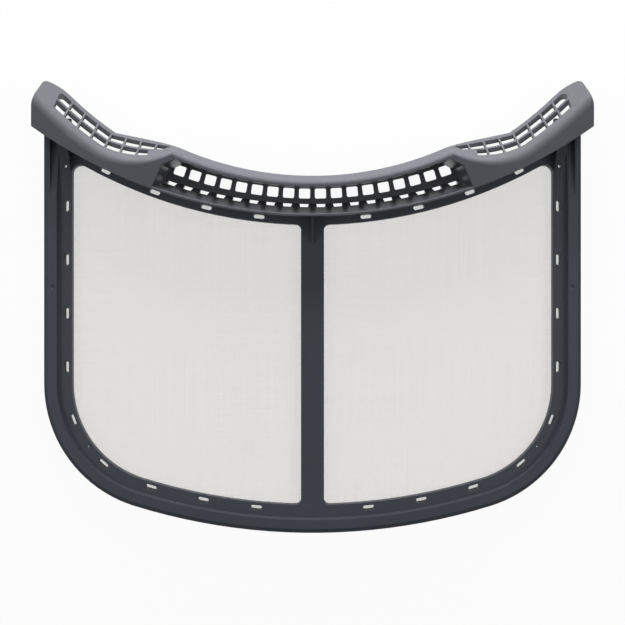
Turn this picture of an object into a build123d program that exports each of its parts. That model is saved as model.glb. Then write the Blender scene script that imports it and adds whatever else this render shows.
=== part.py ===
from build123d import *
import math
import os

# Tumble dryer lint filter: a frame moulded round its mesh, and the cover with grilles and handle on top.
# Everything is drawn with the drum's axis as Z, then moved so that the origin lies under the middle.
# X runs across the filter, Y up towards the cover, and Z to the front.

# Mesh frame: a U of constant section, drawn by its outer edge
frame_half_width = 209.5
frame_reach = 532.0
frame_corner_radius = 100.0
frame_bottom_radius = 470.0
flange_width = 3.9
flange_thickness = 4.0
band_width = 8.5
band_height = 11.0
web_width = 10.0
web_height = 7.5
band_slope = 0.9
rib_width = 17.8
window_corner_radius = 6.5
window_rib_radius = 4.5

# Seat arc: the curve that the cover's lower edge, the shelf and the windows share
seat_radius = 364.0
seat_drop = 287.6
window_edge_drop = 4.0
shelf_rise = 2.2
shelf_thickness = 1.8
shelf_depth = 24.0

# Braces between the shelf and the web
brace_thickness = 1.3
brace_setback = 1.5
brace_end_height = 1.2
middle_brace_length = 22.0
side_brace_length = 18.0
side_brace_inset = 21.2

# Guide groove in the raised band, just below the cover
groove_wall = 2.4
groove_length = 44.0
groove_depth = 4.5

# Mesh screen, moulded into the web, and the slots where the mould held it
mesh_thickness = 0.4
mesh_level = 1.4
mesh_grip = 7.0
slot_length = 8.2
slot_width = 3.0
slot_flare = 0.4
slot_setback = 4.2
slot_lead = 2.0
slot_pitch = 41.8
side_slot_count = 9
top_slot_count = 4

# Holes that the mould's pins leave in the web, and the marks of its ejectors on the band
pin_hole_radius = 1.25
pin_hole_inset = 17.2
pin_hole_drop = 13.3
corner_pin_radius = 1.0
corner_pin_run = 187.0
ejector_radius = 1.5
ejector_depth = 0.4
ejector_inset = 8.6
ejector_drop = 113.0

# Cover, measured outwards from the drum axis; the wings carry the grilles, the bar is the handle
cover_overhang = 1.9
end_clearance = 0.3
cover_depth = 38.0
cover_wall = 2.4
rear_edge_height = 14.0
rear_edge_round = 2.0
wing_rear_radius = 268.4
wing_front_radius = 288.0
wing_roll = 10.0
wing_angle = 34.5
bar_rear_radius = 254.4
bar_front_radius = 261.4
bar_roll = 4.0
bar_angle = 23.8
rise_steps = 6
rear_rise_power = 1.5

# Ends of the cover in plan: a shoulder, a leaning wall and a rounded rear corner
end_lean = 6.0
end_shoulder_drop = 36.7
end_shoulder_round = 20.0
end_corner_drop = 16.3
end_corner_round = 3.0
end_run = 24.0

# Finger recess under the bar; its floor lies along the seat arc, and its upper corners are cut off
recess_back_height = 12.0
recess_back_angle = 23.6
recess_front_angle = 24.5
recess_corner_angle = 1.6
recess_corner_drop = 8.4
recess_roof_back_radius = 263.6
recess_roof_front_radius = 265.4
recess_foot_inset = 11.8
recess_wall = 2.0
lip_thickness = 1.4

# Holes in the recess: a square row midway between bar and seat, and a row along the floor
holes_per_side = 9
back_hole_drop = 267.9
back_hole_pitch = 12.3
back_hole_width = 8.6
back_hole_height = 7.8
back_hole_chamfer = 0.8
floor_hole_inner_inset = 11.6
floor_hole_outer_inset = 8.4
floor_hole_pitch = 12.9
floor_hole_inner_width = 7.0
floor_hole_outer_width = 6.0

# Grille cells in the wings: the rows lie at fixed heights, and the cross bars fan out between the ends
grille_end_margin = 15.5
grille_end_slant = 2.0
grille_end_round = 5.0
grille_inner_end = 109.0
grille_inner_slant = 12.0
grille_front_row_end = 125.0
grille_rear_height = 17.2
grille_front_height = 31.6
cross_bar_count = 7
cross_bar_angle_pitch = 2.65
cross_bar_turn_share = 0.37
grille_bar = 1.5

# Posts on the shelf that stand under the grilles
post_bars = (0, 3)
post_width = 2.8
post_depth = 5.0
post_offset = 0.4
post_level = 17.0
post_radius = 282.0

# Flat sides of the small rounds (slot ends, pin holes, ejector marks), and how far cuts run past a face
small_round_sides = 8
overcut = 5.0

seat_centre_height = seat_radius - seat_drop
seat_centre = Vector(0, seat_centre_height)
web_inset = flange_width + band_width
window_inset = web_inset + web_width
window_radius = seat_radius + window_edge_drop
shelf_radius = seat_radius - shelf_rise
frame_top_radius = shelf_radius - shelf_thickness
far_radius = seat_radius + cover_depth
cover_half_length = frame_half_width + cover_overhang
grille_outer_end = cover_half_length - grille_end_margin
grille_radius = (wing_rear_radius + wing_front_radius) / 2


def polar(radius, angle):
    """Point at a radius from the drum axis, with the angle counted from straight down."""
    turn = math.radians(angle)
    return Vector(radius * math.sin(turn), -radius * math.cos(turn))


def seat_height(radius, x):
    """Y of a seat arc at a place across the filter."""
    return seat_centre_height - math.sqrt(radius ** 2 - x ** 2)


def seat_disc(radius):
    return Pos(0, seat_centre_height) * Circle(radius)


def prism(face, low, high):
    return Pos(0, 0, low) * extrude(face, high - low)


def plate(x, thickness, outline):
    """Flat plate across X, from an outline given as (y, z) points."""
    points = [Vector(x - thickness / 2, y, z) for y, z in outline]
    return extrude(make_face(Polyline(*points, close=True)), thickness, dir=(1, 0, 0))


def both_sides(shape):
    return shape + mirror(shape, Plane.YZ)


def u_edges(inset):
    """Right half of the U, from its upper end to the lowest point."""
    corner_x = frame_half_width - frame_corner_radius
    bottom_y = frame_bottom_radius - frame_reach
    run = frame_bottom_radius - frame_corner_radius
    corner_y = bottom_y - math.sqrt(run ** 2 - corner_x ** 2)
    turn = math.degrees(math.asin(corner_x / run))
    corner = Vector(corner_x, corner_y)
    bottom = Vector(0, bottom_y)
    small = frame_corner_radius - inset
    large = frame_bottom_radius - inset
    side_end = corner + polar(small, 90)
    corner_end = bottom + polar(large, turn)
    return [
        Line(Vector(side_end.X, 0), side_end),
        ThreePointArc(side_end, corner + polar(small, (90 + turn) / 2), corner_end),
        ThreePointArc(corner_end, bottom + polar(large, turn / 2), bottom + polar(large, 0)),
    ]


def u_face(inset):
    right = u_edges(inset)
    left = [edge.mirror(Plane.YZ) for edge in right]
    return make_face(right + left + [Line(right[0] @ 0, left[0] @ 0)])


def frame_region(inset, top_radius):
    """Inside of the U at an inset, below a seat arc."""
    return u_face(inset) - seat_disc(top_radius)


def window_face():
    """The right-hand window, between the web and the middle rib."""
    width = frame_half_width
    beside_rib = Pos(rib_width / 2 + width / 2, -frame_reach) * Rectangle(width, 2 * frame_reach)
    window = frame_region(window_inset, window_radius) & beside_rib
    rib_corners = window.vertices().group_by(Axis.X)[0]
    window = fillet(rib_corners, window_rib_radius)
    return fillet(window.vertices().group_by(Axis.Y)[-1], window_corner_radius)


def small_round(radius):
    """Small circle, drawn with flat sides."""
    half_side = 180 / small_round_sides
    return Rot(0, 0, half_side) * RegularPolygon(radius, small_round_sides, major_radius=False)


def slot_path():
    """Line of the slots on the right half of the web, from its upper end to the lowest point."""
    return Wire(u_edges(window_inset - slot_setback))


def slot_places():
    """Middle and direction of each slot on the right half of the frame."""
    path = slot_path()
    places = []
    for step in range(1, side_slot_count + 1):
        distance = path.length - slot_lead - step * slot_pitch
        point = path.position_at(distance, PositionMode.LENGTH)
        along = path.tangent_at(distance, PositionMode.LENGTH)
        places.append((point, math.degrees(math.atan2(along.Y, along.X))))
    radius = window_radius - slot_setback
    for step in range(1, top_slot_count + 1):
        angle = math.degrees(step * slot_pitch / radius)
        places.append((seat_centre + polar(radius, angle), angle))
    return places


def slot_face(grow):
    """Slot with faceted ends, grown on all sides."""
    width = slot_width + 2 * grow
    reach = (slot_length - slot_width) / 2
    end = small_round(width / 2)
    return Rectangle(2 * reach, width) + Pos(reach, 0) * end + Pos(-reach, 0) * end


def slot_cutter(point, angle):
    """Slot that is straight below the mesh and flares towards the front."""
    mesh_top = mesh_level + mesh_thickness
    cutter = prism(slot_face(0), -overcut, mesh_top)
    cutter += loft([Pos(0, 0, mesh_top) * slot_face(0), Pos(0, 0, web_height) * slot_face(slot_flare)],
                   ruled=True)
    return Pos(point.X, point.Y) * Rot(0, 0, angle) * cutter


def pin_holes():
    """Holes on the right half: a larger one by the cover and a fine one in the corner."""
    x = frame_half_width - pin_hole_inset
    upper = Pos(x, seat_height(seat_radius, x) - pin_hole_drop) * small_round(pin_hole_radius)
    path = slot_path()
    place = path.position_at(path.length - corner_pin_run, PositionMode.LENGTH)
    lower = Pos(place.X, place.Y) * small_round(corner_pin_radius)
    return [prism(hole, -overcut, band_height + overcut) for hole in (upper, lower)]


def ejector_mark():
    x = frame_half_width - ejector_inset
    place = Pos(x, seat_height(seat_radius, x) - ejector_drop)
    return place * prism(small_round(ejector_radius), band_height - ejector_depth, band_height + overcut)


def brace(x, length):
    top = seat_height(shelf_radius - shelf_thickness / 2, x)
    foot = web_height - brace_setback
    outline = [(top, foot), (top, shelf_depth - brace_setback),
               (top - length, web_height + brace_end_height), (top - length, foot)]
    return plate(x, brace_thickness, outline)


def guide_groove():
    """Wedge that lowers the inner part of the raised band towards the cover."""
    outer = frame_half_width - flange_width - groove_wall
    inner = frame_half_width - web_inset
    middle = (outer + inner) / 2
    high = seat_height(shelf_radius, middle)
    outline = [(high + overcut, band_height - groove_depth), (high, band_height - groove_depth),
               (high - groove_length, band_height), (high - groove_length, band_height + overcut),
               (high + overcut, band_height + overcut)]
    return plate(middle, outer - inner, outline)


def cross_bar_angle(step):
    """Angle of a cross bar's middle about the drum axis, counted from the grille's outer end."""
    end_angle = math.degrees(math.asin(grille_outer_end / grille_radius))
    return end_angle - (step + 1) * cross_bar_angle_pitch


def post(step):
    x = polar(grille_radius, cross_bar_angle(step)).X + post_offset
    low = seat_height(shelf_radius - shelf_thickness / 2, x)
    high = -math.sqrt(post_radius ** 2 - x ** 2)
    near = post_level - post_depth / 2
    far = post_level + post_depth / 2
    return plate(x, post_width, [(low, near), (low, far), (high, far), (high, near)])


def mesh_screen():
    sheet = prism(frame_region(window_inset - mesh_grip, window_radius - mesh_grip),
                  mesh_level, mesh_level + mesh_thickness)
    for hole in pin_holes():
        sheet -= both_sides(hole)
    return sheet


def mesh_frame(screen):
    body = prism(frame_region(0, frame_top_radius), 0, flange_thickness)
    body += prism(frame_region(flange_width, frame_top_radius), 0, band_height)
    bed_foot = Pos(0, 0, web_height) * u_face(web_inset)
    bed_rim = Pos(0, 0, band_height) * u_face(web_inset - band_slope)
    body -= loft([bed_foot, bed_rim], ruled=True)
    body -= both_sides(guide_groove())
    body += prism(frame_region(flange_width, frame_top_radius) & seat_disc(shelf_radius), 0, shelf_depth)
    body += brace(0, middle_brace_length)
    body += both_sides(brace(frame_half_width - side_brace_inset, side_brace_length))
    for step in post_bars:
        body += both_sides(post(step))
    body -= both_sides(prism(window_face(), -overcut, band_height + overcut))
    for point, angle in slot_places():
        body -= both_sides(slot_cutter(point, angle))
    for hole in pin_holes():
        body -= both_sides(hole)
    body -= both_sides(ejector_mark())
    return body - screen


def section_plane(angle):
    """Plane through the drum axis: its x runs outwards and its y is Z."""
    outwards = polar(1, angle)
    return Plane(origin=(0, 0, 0), x_dir=outwards, z_dir=outwards.cross(Vector(0, 0, 1)))


def rounded_corner(face, corner, radius):
    return fillet(face.vertices().sort_by_distance((corner[0], corner[1], 0))[0], radius)


def cover_section(angle, rear, front, roll):
    """Outer section of the cover, filled down past its lower edge."""
    rear_corner = (rear, rear_edge_height)
    front_corner = (front, cover_depth)
    outline = Polyline((rear, 0), rear_corner, front_corner, (far_radius, cover_depth), (far_radius, 0),
                       close=True)
    section = rounded_corner(make_face(outline), rear_corner, rear_edge_round)
    return section_plane(angle) * rounded_corner(section, front_corner, roll)


def hollow_section(angle, rear, front, roll):
    """Inside of the cover's shell at the same place, open to the back and below."""
    run = front - rear
    rise = cover_depth - rear_edge_height
    shift = cover_wall * math.hypot(run, rise) / rise
    inner_rear = rear + cover_wall
    rear_height = rear_edge_height + (cover_wall - shift) * rise / run
    inner_depth = cover_depth - cover_wall
    front_corner = (rear + shift + (inner_depth - rear_edge_height) * run / rise, inner_depth)
    beyond = far_radius + overcut
    outline = Polyline((inner_rear, -overcut), (inner_rear, rear_height), front_corner,
                       (beyond, inner_depth), (beyond, -overcut), close=True)
    return section_plane(angle) * rounded_corner(make_face(outline), front_corner, roll - cover_wall)


def rise_section(section, step):
    """Section of the rise beside the bar: the front edge goes out first, and the rear edge follows."""
    share = step / rise_steps
    ease = 1 - (1 - share) ** 2
    rear = bar_rear_radius + share ** rear_rise_power * (wing_rear_radius - bar_rear_radius)
    front = bar_front_radius + ease * (wing_front_radius - bar_front_radius)
    roll = bar_roll + ease * (wing_roll - bar_roll)
    return section(bar_angle + share * (wing_angle - bar_angle), rear, front, roll)


def swept(section):
    """The bar, the rise beside it and the wing, on both sides."""
    end_angle = math.degrees(math.asin(cover_half_length / wing_rear_radius))
    form = revolve(section(0, bar_rear_radius, bar_front_radius, bar_roll), Axis.Z, bar_angle)
    form += loft([rise_section(section, step) for step in range(rise_steps + 1)])
    wing = section(wing_angle, wing_rear_radius, wing_front_radius, wing_roll)
    form += revolve(wing, Axis.Z, end_angle - wing_angle)
    return both_sides(form)


def cover_plan(inset):
    """Plan of the cover that stops its form at the ends, drawn in by an inset."""
    half = cover_half_length - inset
    rim = wing_rear_radius + inset
    start_angle = math.degrees(math.asin((half - end_run) / rim))
    start = polar(rim, start_angle)
    tip = -math.sqrt(wing_rear_radius ** 2 - cover_half_length ** 2)
    corner = (half - end_lean, tip - end_corner_drop - inset)
    shoulder = (half, tip - end_shoulder_drop - inset)
    outline = [Line((0, 0), start), TangentArc(start, corner, tangent=polar(1, start_angle + 90)),
               Polyline(corner, shoulder, (half, -far_radius), (0, -far_radius), (0, 0))]
    face = rounded_corner(make_face(outline), corner, end_corner_round)
    face = rounded_corner(face, shoulder, end_shoulder_round)
    return both_sides(prism(face, -overcut, cover_depth + overcut))


def recess_points(height, angle, roof, floor):
    """Points of the recess at one height: left to right along its roof, its cut corners and its floor."""
    def floor_point(turn):
        lift = seat_centre_height * math.cos(math.radians(turn))
        aside = seat_centre_height * math.sin(math.radians(turn))
        return polar(math.sqrt(floor ** 2 - aside ** 2) - lift, turn)

    up = Vector(0, 0, height)
    roof_end = angle - recess_corner_angle
    return [[polar(roof, turn) + up for turn in (-roof_end, 0, roof_end)],
            [polar(roof + recess_corner_drop, turn) + up for turn in (-angle, angle)],
            [floor_point(turn) + up for turn in (-angle, 0, angle)]]


def recess(grow):
    """Form of the finger recess, grown on all sides for its walls and run out past the front."""
    widen = math.degrees(grow / recess_roof_back_radius)
    back = recess_points(recess_back_height - grow, recess_back_angle + widen,
                         recess_roof_back_radius - grow, seat_radius - recess_foot_inset + grow)
    front = recess_points(cover_depth, recess_front_angle + widen,
                          recess_roof_front_radius - grow, seat_radius - lip_thickness + grow)
    run_out = 1 + overcut / cover_depth
    faces = []
    for stretch in (0, run_out):
        roof, corners, floor = [[low + (high - low) * stretch for low, high in zip(row_back, row_front)]
                                for row_back, row_front in zip(back, front)]
        left = [Line(roof[0], corners[0]), Line(corners[0], floor[0])]
        right = [Line(roof[-1], corners[-1]), Line(corners[-1], floor[-1])]
        faces.append(make_face([ThreePointArc(*roof), ThreePointArc(*floor)] + left + right))
    return loft(faces, ruled=True)


def recess_holes():
    """Square holes in the back of the recess and, below each, one where the floor meets the back."""
    square = Rectangle(back_hole_width, back_hole_height)
    square = chamfer(square.vertices(), back_hole_chamfer)
    square_cut = prism(square, -overcut, recess_back_height)
    inner = floor_hole_inner_width / 2
    outer = floor_hole_outer_width / 2
    floor_inner = seat_radius - floor_hole_inner_inset
    floor_outer = seat_radius - floor_hole_outer_inset
    floor_hole = make_face(Polyline((-inner, -floor_inner), (inner, -floor_inner),
                                    (outer, -floor_outer), (-outer, -floor_outer), close=True))
    floor_cut = prism(floor_hole, -overcut, cover_depth)
    row_height = seat_centre_height / 2
    row_radius = back_hole_drop + row_height
    cuts = []
    for step in range(-holes_per_side, holes_per_side):
        square_angle = math.degrees((step + 0.5) * back_hole_pitch / row_radius)
        floor_angle = math.degrees((step + 0.5) * floor_hole_pitch / floor_inner)
        cuts.append(Pos(0, row_height) * Rot(0, 0, square_angle) * Pos(0, -row_radius) * square_cut)
        cuts.append(Pos(0, seat_centre_height) * Rot(0, 0, floor_angle) * floor_cut)
    return cuts


def grille_cells():
    """Cells of the right-hand grille: two rows cut straight down the Y axis, parted by the cross bars."""
    inner_front = grille_inner_end + grille_inner_slant
    rear_corner = (grille_outer_end - grille_end_slant, grille_rear_height)
    field = make_face(Polyline((grille_inner_end, grille_rear_height), rear_corner,
                               (grille_outer_end, grille_front_height), (inner_front, grille_front_height),
                               close=True))
    field = rounded_corner(field, rear_corner, grille_end_round)
    middle = (grille_front_height + grille_rear_height) / 2
    field -= Pos(0, middle) * Rectangle(2 * cover_half_length, grille_bar)
    field -= Pos(0, middle + cover_depth / 2) * Rectangle(2 * grille_front_row_end, cover_depth)
    upright = Plane(origin=(0, -bar_front_radius / 2, 0), x_dir=(1, 0, 0), z_dir=(0, -1, 0))
    cells = extrude(upright * field, bar_front_radius)
    for step in range(cross_bar_count):
        angle = cross_bar_angle(step)
        place = polar(grille_radius, angle)
        cross_bar = Box(grille_bar, 2 * cover_depth, 2 * cover_depth)
        cells -= Pos(place.X, place.Y) * Rot(0, 0, cross_bar_turn_share * angle) * cross_bar
    return cells


def top_cover():
    edge = prism(seat_disc(seat_radius), -overcut, cover_depth + overcut)
    outer = swept(cover_section) & edge & cover_plan(0)
    body = outer - (swept(hollow_section) & cover_plan(cover_overhang - end_clearance))
    body += recess(recess_wall) & outer
    body -= recess(0)
    for cut in recess_holes():
        body -= cut
    return body - both_sides(grille_cells())


if __name__ == "__main__":
    os.makedirs("parts", exist_ok=True)
    screen = mesh_screen()
    pieces = {"mesh_frame": mesh_frame(screen), "mesh_screen": screen, "top_cover": top_cover()}
    boxes = [piece.bounding_box() for piece in pieces.values()]
    lowest = min(box.min.Y for box in boxes)
    highest = max(box.max.Y for box in boxes)
    to_origin = Pos(0, -(lowest + highest) / 2, 0)
    for name, piece in pieces.items():
        export_step(to_origin * piece, f"parts/{name}.step")
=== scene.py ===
import math
import bpy
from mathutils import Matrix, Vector


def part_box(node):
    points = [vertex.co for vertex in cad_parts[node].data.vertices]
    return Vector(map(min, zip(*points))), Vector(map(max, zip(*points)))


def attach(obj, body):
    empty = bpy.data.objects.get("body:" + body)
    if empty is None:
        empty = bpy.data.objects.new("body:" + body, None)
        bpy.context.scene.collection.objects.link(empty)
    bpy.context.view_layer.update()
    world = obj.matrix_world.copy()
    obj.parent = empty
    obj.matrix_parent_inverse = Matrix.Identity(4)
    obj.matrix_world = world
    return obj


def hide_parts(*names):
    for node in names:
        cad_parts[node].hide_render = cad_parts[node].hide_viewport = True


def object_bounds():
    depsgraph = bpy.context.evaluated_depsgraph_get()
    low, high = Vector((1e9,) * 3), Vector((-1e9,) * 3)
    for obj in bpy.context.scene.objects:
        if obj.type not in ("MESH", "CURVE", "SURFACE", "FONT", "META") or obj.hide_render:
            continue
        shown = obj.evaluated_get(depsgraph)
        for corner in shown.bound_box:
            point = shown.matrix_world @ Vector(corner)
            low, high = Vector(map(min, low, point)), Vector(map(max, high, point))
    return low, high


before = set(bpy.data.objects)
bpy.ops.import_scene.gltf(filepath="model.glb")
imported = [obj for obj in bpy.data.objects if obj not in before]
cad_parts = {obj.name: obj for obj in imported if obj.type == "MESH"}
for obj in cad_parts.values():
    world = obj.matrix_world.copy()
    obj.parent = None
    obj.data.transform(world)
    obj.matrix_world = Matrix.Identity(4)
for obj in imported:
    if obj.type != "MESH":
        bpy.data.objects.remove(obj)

cad_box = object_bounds()

# Mesh frame: a U of charcoal plastic with a middle rib, moulded in one shot round the mesh.
# The mould was spark-eroded to a fine even grain, so the skin is half matt, and its edges are
# broken by the small radius that the tool leaves.


class Socket:
    """A socket of a material's node tree; arithmetic on it adds Math nodes."""

    def __init__(self, tree, output=None):
        self.tree = tree
        self.output = output

    def add(self, kind, settings=None, inputs=None, output=0):
        """Adds any node: its settings first, then the values or links of its sockets."""
        node = self.tree.nodes.new("ShaderNode" + kind)
        for name, value in (settings or {}).items():
            setattr(node, name, value)
        for name, value in (inputs or {}).items():
            if isinstance(value, Socket):
                self.tree.links.new(value.output, node.inputs[name])
            else:
                node.inputs[name].default_value = value
        return Socket(self.tree, node.outputs[output] if node.outputs else None)

    def math(self, operation, *values):
        return self.add("Math", {"operation": operation}, dict(enumerate(values)))

    def __add__(self, other):
        return self.math("ADD", self, other)

    __radd__ = __add__

    def __sub__(self, other):
        return self.math("SUBTRACT", self, other)

    def __rsub__(self, other):
        return self.math("SUBTRACT", other, self)

    def __mul__(self, other):
        return self.math("MULTIPLY", self, other)

    __rmul__ = __mul__

    def __truediv__(self, other):
        return self.math("DIVIDE", self, other)

    def __rtruediv__(self, other):
        return self.math("DIVIDE", other, self)

    def blend(self, low, high):
        """Colour that runs from low to high as this value runs from 0 to 1."""
        return self.add("Mix", {"data_type": "RGBA", "clamp_factor": True},
                        {0: self, 6: (*low, 1), 7: (*high, 1)}, 2)


def new_material(name):
    """Empty material, and the start of its node tree."""
    material = bpy.data.materials.new(name)
    material.use_nodes = True
    material.node_tree.nodes.clear()
    return material, Socket(material.node_tree)


def moulded_plastic(name, dark, light, rough_low, rough_high, edge_radius, polished=None):
    """Charcoal moulded plastic: cloudy pigment, spark-eroded grain and softened edges.

    polished gives, from a place, 1 where the mould was left smooth and 0 where it has the grain.
    """
    rough_polished = 0.32
    grain_per_metre = 1900
    grain_depth = 0.00012
    grain_strength = 0.16
    speck_per_metre = 900
    speck_share = 0.45
    cloud_per_metre = 22
    cloud_share = 0.55
    material, tree = new_material(name)
    place = tree.add("TexCoord", output=3)
    grain = tree.add("TexNoise", None, {"Vector": place, "Scale": grain_per_metre, "Detail": 2.0})
    speck = tree.add("TexNoise", None, {"Vector": place, "Scale": speck_per_metre, "Detail": 1.0})
    cloud = tree.add("TexNoise", None, {"Vector": place, "Scale": cloud_per_metre, "Detail": 3.0})
    tone = cloud_share * cloud + speck_share * speck
    rounded = tree.add("Bevel", {"samples": 4}, {"Radius": edge_radius})
    roughness = rough_low + cloud * (rough_high - rough_low)
    if polished:
        smooth = polished(place)
        grain = grain * (1 - smooth)
        roughness = roughness + smooth * (rough_polished - roughness)
    relief = tree.add("Bump", None, {
        "Strength": grain_strength,
        "Distance": grain_depth,
        "Height": grain,
        "Normal": rounded,
    })
    shader = tree.add("BsdfPrincipled", None, {
        "Base Color": tone.blend(dark, light),
        "Roughness": roughness,
        "IOR": 1.5,
        "Specular IOR Level": 0.36,
        "Normal": relief,
    })
    tree.add("OutputMaterial", None, {"Surface": shader})
    return material


def dress(node, material):
    """Gives a node of the frame its material."""
    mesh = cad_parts[node].data
    mesh.materials.clear()
    mesh.materials.append(material)


frame_dark = (0.045, 0.051, 0.063)
frame_light = (0.061, 0.069, 0.084)
frame_plastic = moulded_plastic("frame_plastic", frame_dark, frame_light,
                                rough_low=0.42, rough_high=0.58, edge_radius=0.0009)
dress("mesh_frame", frame_plastic)

# Mesh screen: one sheet of off-white monofilament cloth in plain weave, laid flat in the mould.
# Its edge is held in the web all round and it passes behind the rib, so it is stretched smooth.
thread_pitch = 0.0006
thread_width = 0.000126


def woven_mesh(name):
    """Plain weave of round threads, open between them, with faint streaks along both ways."""
    shade_dark = (0.34, 0.30, 0.26)
    shade_light = (0.86, 0.78, 0.69)
    thread_edge = 0.02
    thread_depth = 0.0001
    crimp = 0.5
    streaks_across = 1200
    streaks_along = 9
    warp_contrast = 0.45
    weft_contrast = 0.4
    material, tree = new_material(name)
    place = tree.add("TexCoord", output=3)
    across = tree.add("SeparateXYZ", None, {0: place}, 0)
    along = tree.add("SeparateXYZ", None, {0: place}, 1)
    warp_place = across / thread_pitch
    weft_place = along / thread_pitch
    half_width = thread_width / thread_pitch / 2

    def thread(position):
        """Height of a round thread, 1 at its middle and 0 beside it."""
        off = tree.math("PINGPONG", position, 0.5) / half_width
        return tree.math("MAXIMUM", 1 - off * off, 0.0)

    def streaks(scale):
        """Noise drawn out along one way of the weave, about 0."""
        stretched = tree.add("Mapping", None, {"Vector": place, "Scale": scale})
        return tree.add("TexNoise", None, {"Vector": stretched, "Scale": 1.0, "Detail": 1.0}) - 0.5

    warp = thread(warp_place)
    weft = thread(weft_place)
    turn = tree.math("COSINE", warp_place * math.pi) * tree.math("COSINE", weft_place * math.pi)
    height = tree.math("MAXIMUM", warp * (1 + crimp * turn), weft * (1 - crimp * turn))
    covered = tree.math("GREATER_THAN", tree.math("MAXIMUM", warp, weft), thread_edge)
    warp_streaks = streaks((streaks_across, streaks_along, 1))
    weft_streaks = streaks((streaks_along, streaks_across, 1))
    tone = 0.5 + warp_contrast * warp_streaks + weft_contrast * weft_streaks
    relief = tree.add("Bump", None, {"Strength": 0.5, "Distance": thread_depth, "Height": height})
    shader = tree.add("BsdfPrincipled", None, {
        "Base Color": tone.blend(shade_dark, shade_light),
        "Roughness": 0.5,
        "Alpha": covered,
        "Normal": relief,
    })
    tree.add("OutputMaterial", None, {"Surface": shader})
    return material


screen_low, screen_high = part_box("mesh_screen")
screen_size = screen_high - screen_low
weld_distance = 0.00001
bpy.ops.object.select_all(action="DESELECT")
cloth = bpy.data.objects.new("screen_cloth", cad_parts["mesh_screen"].data.copy())
bpy.context.scene.collection.objects.link(cloth)
cloth.select_set(True)
bpy.context.view_layer.objects.active = cloth
# Only the upper face of the sheet stays, and it is moved to the middle of the thickness.
bpy.ops.object.mode_set(mode="EDIT")
bpy.ops.mesh.select_all(action="SELECT")
bpy.ops.mesh.remove_doubles(threshold=weld_distance)
bpy.ops.mesh.select_mode(type="FACE")
bpy.ops.mesh.select_all(action="DESELECT")
bpy.ops.object.mode_set(mode="OBJECT")
for face in cloth.data.polygons:
    face.select = face.normal.z < 0.5
bpy.ops.object.mode_set(mode="EDIT")
bpy.ops.mesh.delete(type="FACE")
bpy.ops.mesh.select_all(action="SELECT")
bpy.ops.transform.translate(value=(0, 0, -screen_size.z / 2))
bpy.ops.object.mode_set(mode="OBJECT")
cloth.data.materials.clear()
cloth.data.materials.append(woven_mesh("screen_mesh"))
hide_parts("mesh_screen")
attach(cloth, "root")

# Top cover: one charcoal moulding, set over the frame's shelf. It has a grille at each end
# and a finger recess between them. Its skin is a little paler and more matt than the frame's,
# but the walls of the recess come from a smooth part of the mould and shine.
drum_reach = 0.532
recess_near = 0.2650
recess_far = 0.2880
recess_half_angle = math.radians(24.6)
recess_top = 0.0368


def finger_recess(place):
    """1 on the walls of the finger recess and 0 elsewhere, round the axis of the dryer's drum."""
    across, along, up = (place.add("SeparateXYZ", None, {0: place}, axis) for axis in range(3))
    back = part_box("mesh_frame")[0].y + drum_reach - along
    reach = place.math("SQRT", across * across + back * back)
    turn = place.math("ABSOLUTE", place.math("ARCTAN2", across, back))
    beyond_bar = place.math("GREATER_THAN", reach, recess_near)
    behind_lip = place.math("LESS_THAN", reach, recess_far)
    between_ends = place.math("LESS_THAN", turn, recess_half_angle)
    below_top = place.math("LESS_THAN", up, recess_top)
    return beyond_bar * behind_lip * between_ends * below_top


cover_dark = (0.063, 0.065, 0.076)
cover_light = (0.084, 0.086, 0.099)
cover_plastic = moulded_plastic("cover_plastic", cover_dark, cover_light,
                                rough_low=0.58, rough_high=0.70, edge_radius=0.0006,
                                polished=finger_recess)
dress("top_cover", cover_plastic)

# Floor: a sheet of white paper that the filter lies on. The camera sees most of it as plain white,
# and the rest as lit paper, so that the filter's shadow still shows.
floor_size = 400.0
floor_drop = 0.0002
paper_shade = (0.86, 0.86, 0.86, 1)
white_share = 0.94
bpy.ops.mesh.primitive_grid_add(x_subdivisions=4, y_subdivisions=4, size=floor_size,
                                location=(0, 0, cad_box[0][2] - floor_drop))
floor = bpy.context.object
floor.name = "floor"
bpy.ops.object.transform_apply(location=True)
floor_material, tree = new_material("white_paper")
paper = tree.add("BsdfDiffuse", None, {"Color": paper_shade})
white = tree.add("Emission", None, {"Color": (1, 1, 1, 1), "Strength": 1.0})
seen = tree.add("LightPath", output=0)
glossy = tree.add("LightPath", output=3)
through = tree.add("LightPath", output=6)
direct = tree.math("MAXIMUM", seen, tree.math("MAXIMUM", glossy, through))
mixed = tree.add("MixShader", None, {0: direct * white_share, 1: paper, 2: white})
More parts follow.
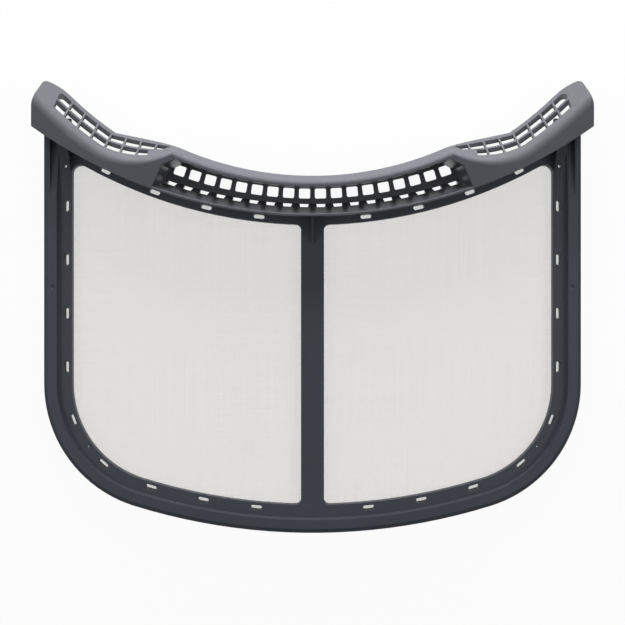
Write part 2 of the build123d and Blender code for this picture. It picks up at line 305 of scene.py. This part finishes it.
tree.add("OutputMaterial", None, {"Surface": mixed})
floor.data.materials.append(floor_material)


# Light: a wide soft box beyond the cover, low over the floor, a smaller one higher up behind it,
# a weak one above the camera, and a weak one at each side.
def soft_box(name, place, aim, width, height, power):
    """Rectangular lamp at a place, turned to face the aim."""
    data = bpy.data.lights.new(name, "AREA")
    data.shape = "RECTANGLE"
    data.size = width
    data.size_y = height
    data.energy = power
    lamp = bpy.data.objects.new(name, data)
    lamp.location = place
    lamp.rotation_euler = (Vector(aim) - Vector(place)).to_track_quat("-Z", "Y").to_euler()
    bpy.context.scene.collection.objects.link(lamp)


soft_box("key", place=(0.0, 1.0, 0.10), aim=(0, 0.1, 0.02), width=2.6, height=0.16, power=30)
soft_box("top", place=(0.0, 1.1, 0.47), aim=(0, 0, 0), width=1.6, height=0.3, power=8.4)
soft_box("fill", place=(0.0, 0.1, 1.6), aim=(0, 0, 0), width=1.6, height=1.6, power=1.5)
for hand in (-1, 1):
    soft_box("side", place=(hand * 1.0, -0.1, 0.84), aim=(0, 0, 0),
             width=1.0, height=0.5, power=3.65)

# World: a weak even light from all round. The floor is the backdrop in any view from 20 degrees
# up, and in lower ones the world shows as grey above it.
ambient_strength = 0.19
world = bpy.data.worlds.new("studio")
world.use_nodes = True
world.node_tree.nodes.clear()
tree = Socket(world.node_tree)
ambient = tree.add("Background", None, {"Color": (1, 1, 1, 1), "Strength": ambient_strength})
tree.add("OutputWorld", None, {"Surface": ambient})
bpy.context.scene.world = world
bpy.context.scene.view_settings.view_transform = "Standard"

# Camera: straight above the filter, at the distance that gives the photograph's perspective.
# The view's middle is measured from the lowest edge of the frame.
camera_distance = 0.900
view_width = 0.490
view_rise = 0.172
view_centre = (0.0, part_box("mesh_frame")[0].y + view_rise)
camera_data = bpy.data.cameras.new("camera")
camera_data.lens = camera_data.sensor_width * camera_distance / view_width
camera = bpy.data.objects.new("camera", camera_data)
camera.location = (*view_centre, camera_distance)
bpy.context.scene.collection.objects.link(camera)
bpy.context.scene.camera = camera
